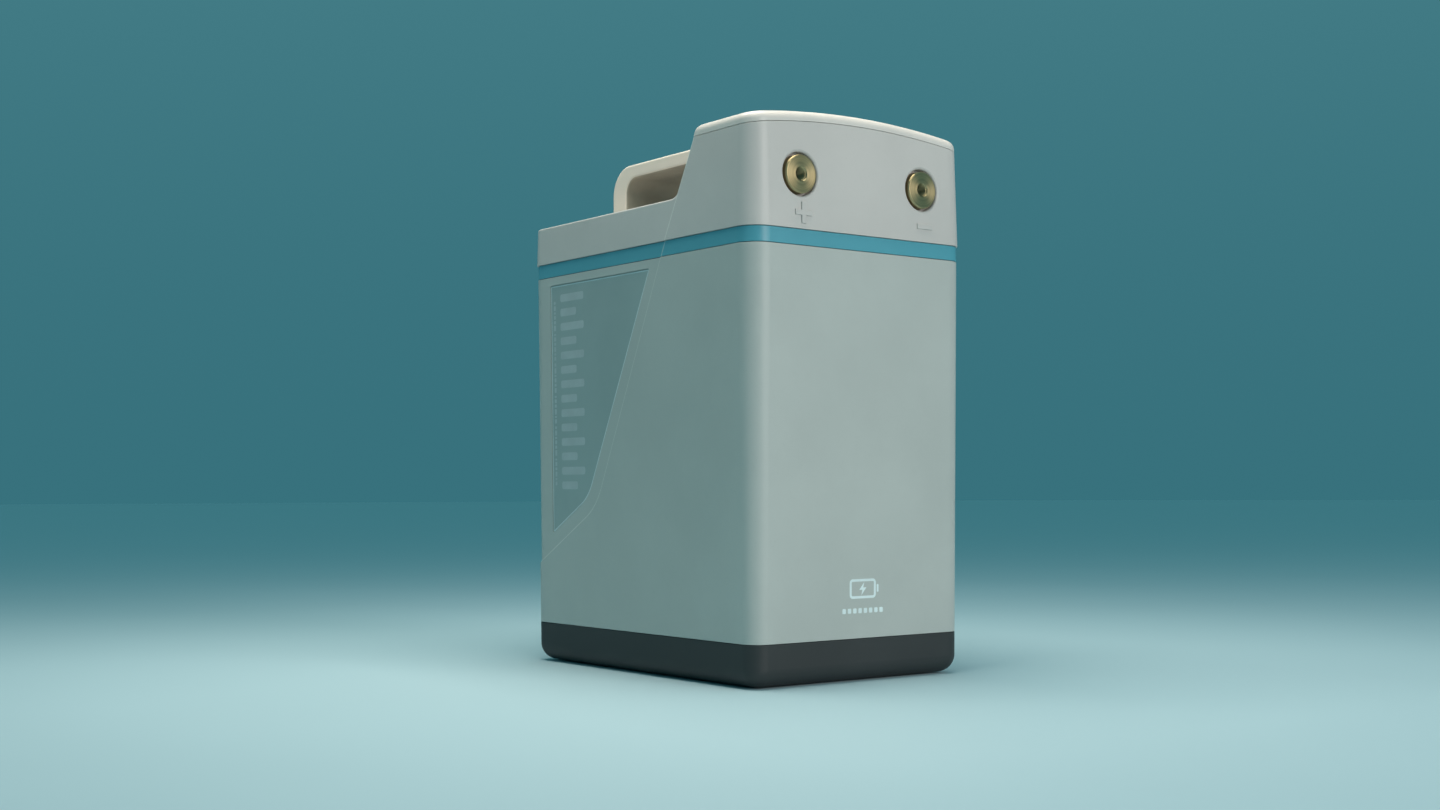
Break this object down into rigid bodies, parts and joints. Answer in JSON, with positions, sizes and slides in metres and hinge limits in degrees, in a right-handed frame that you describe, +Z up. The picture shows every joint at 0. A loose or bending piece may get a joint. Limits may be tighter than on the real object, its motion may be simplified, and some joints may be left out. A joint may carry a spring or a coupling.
{
  "type": "portable battery pack",
  "caption": "Boxy portable battery pack: drafted case with a dark base and trim band, raised lid with two front screw terminals, cap and fixed carry handle.",
  "frame": {"origin": "on the ground under the middle of the case", "axes": "+Z up; the terminals are on the front, which faces -Y; the handle is at the rear, towards +Y"},
  "size_m": [0.1742, 0.2508, 0.3431],
  "materials": {
    "case_plastic": "fine satin grain, warm white",
    "cap_plastic": "fine satin grain, warm white",
    "base_plastic": "matte charcoal grain",
    "band_plastic": "satin teal",
    "label_film": "printed satin film",
    "rubber": "matte black",
    "brass": "turned, slightly dulled",
    "copper": "plain copper sheet",
    "steel": "zinc-plated",
    "aluminium": "plain",
    "cell_film": "blue wrap over an aluminium can",
    "insulator": "natural moulded",
    "foam": "closed-cell foam",
    "fuse_body": "dark moulded with a window",
    "circuit_board": "green solder mask",
    "component_black": "moulded epoxy",
    "connector_white": "moulded",
    "sense_film": "amber polyimide"
  },
  "bodies": {
    "root": {"base_foam": "foam", "base_screws": "steel", "base_tray": "base_plastic", "bms_board": "circuit_board", "bms_capacitors": "aluminium", "bms_carrier": "insulator", "bms_chips": "component_black", "bms_connectors": "connector_white", "bms_heat_sink": "aluminium", "bms_screws": "steel", "bms_shunt": "copper", "bms_transistors": "component_black", "busbar_nuts": "steel", "carry_handle": "cap_plastic", "case_gasket": "rubber", "case_inserts": "brass", "cell_1": "cell_film", "cell_2": "cell_film", "cell_3": "cell_film", "cell_4": "cell_film", "cell_5": "cell_film", "cell_6": "cell_film", "cell_7": "cell_film", "cell_8": "cell_film", "cell_busbars": "copper", "cell_posts_negative": "copper", "cell_posts_positive": "aluminium", "cell_separators": "insulator", "cell_vents": "aluminium", "deck_plugs": "case_plastic", "front_end_plate": "aluminium", "handle_inserts": "brass", "handle_screws": "steel", "label_panel_left": "label_film", "label_panel_right": "label_film", "lid": "case_plastic", "lid_gasket": "rubber", "lid_screws": "steel", "main_case": "case_plastic", "main_fuse": "fuse_body", "negative_busbar": "copper", "negative_link": "copper", "pack_straps": "steel", "positive_busbar": "copper", "positive_link": "copper", "rear_end_plate": "aluminium", "rubber_feet": "rubber", "sense_flex": "sense_film", "side_foam": "foam", "terminal_negative": "brass", "terminal_nuts": "steel", "terminal_positive": "brass", "terminal_seals": "rubber", "terminal_washers": "steel", "top_cap": "cap_plastic", "trim_band": "band_plastic"}
  },
  "joints": []
}
